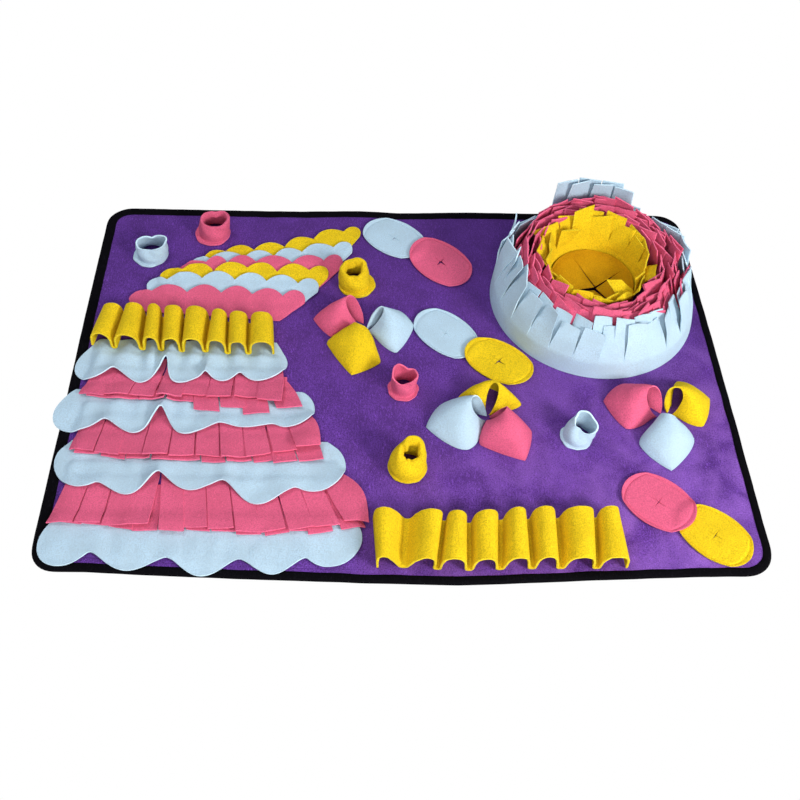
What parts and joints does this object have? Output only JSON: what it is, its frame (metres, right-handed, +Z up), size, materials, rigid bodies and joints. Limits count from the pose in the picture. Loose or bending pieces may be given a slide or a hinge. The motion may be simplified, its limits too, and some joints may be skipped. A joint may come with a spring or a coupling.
{
  "type": "snuffle mat",
  "caption": "Felt snuffle mat for a pet, purple with scalloped flaps, fringes, loops, cups, petals, slit ovals and a slit bowl in blue, pink and yellow.",
  "frame": {"origin": "middle of the mat's underside, on the surface it lies on", "axes": "+X to the bowl's end of the mat along its long side, +Y to its back edge, +Z up"},
  "size_m": [0.7044, 0.5111, 0.0823],
  "materials": {
    "purple_felt": "matte",
    "black_binding": "matte",
    "blue_felt": "matte",
    "pink_felt": "matte",
    "yellow_felt": "matte"
  },
  "bodies": {
    "root": {"base_mat": "purple_felt", "edge_binding": "black_binding", "backing_panel": "purple_felt", "flap_1": "blue_felt", "flap_2": "blue_felt", "flap_3": "blue_felt", "flap_4": "blue_felt", "fringe_1_front": "pink_felt", "fringe_1_back": "pink_felt", "fringe_2_front": "pink_felt", "fringe_2_back": "pink_felt", "fringe_3_front": "pink_felt", "fringe_3_back": "pink_felt", "fan_row_1": "pink_felt", "fan_row_2": "blue_felt", "fan_row_3": "yellow_felt", "fan_row_4": "pink_felt", "fan_row_5": "blue_felt", "fan_row_6": "yellow_felt", "loop_strip_upper": "yellow_felt", "loop_strip_lower": "yellow_felt", "cup_blue_back": "blue_felt", "cup_pink_back": "pink_felt", "cup_yellow_back": "yellow_felt", "cup_pink_middle": "pink_felt", "cup_yellow_front": "yellow_felt", "cup_blue_front": "blue_felt", "petal_pink_left": "pink_felt", "petal_blue_left": "blue_felt", "petal_yellow_left": "yellow_felt", "petal_yellow_middle": "yellow_felt", "petal_blue_middle": "blue_felt", "petal_pink_middle": "pink_felt", "petal_pink_right": "pink_felt", "petal_yellow_right": "yellow_felt", "petal_blue_right": "blue_felt", "oval_blue_back": "blue_felt", "oval_pink_back": "pink_felt", "oval_blue_middle": "blue_felt", "oval_yellow_middle": "yellow_felt", "oval_yellow_front": "yellow_felt", "oval_pink_front": "pink_felt", "bowl_collar_wall": "blue_felt", "bowl_collar_fringe_outer": "blue_felt", "bowl_collar_fringe_inner": "blue_felt", "bowl_pink_wall_outer": "pink_felt", "bowl_pink_wall_inner": "pink_felt", "bowl_pink_fringe_1": "pink_felt", "bowl_pink_fringe_2": "pink_felt", "bowl_pink_fringe_3": "pink_felt", "bowl_pink_fringe_4": "pink_felt", "bowl_yellow_wall": "yellow_felt", "bowl_yellow_fringe_1": "yellow_felt", "bowl_yellow_fringe_2": "yellow_felt", "bowl_floor": "yellow_felt"}
  },
  "joints": []
}
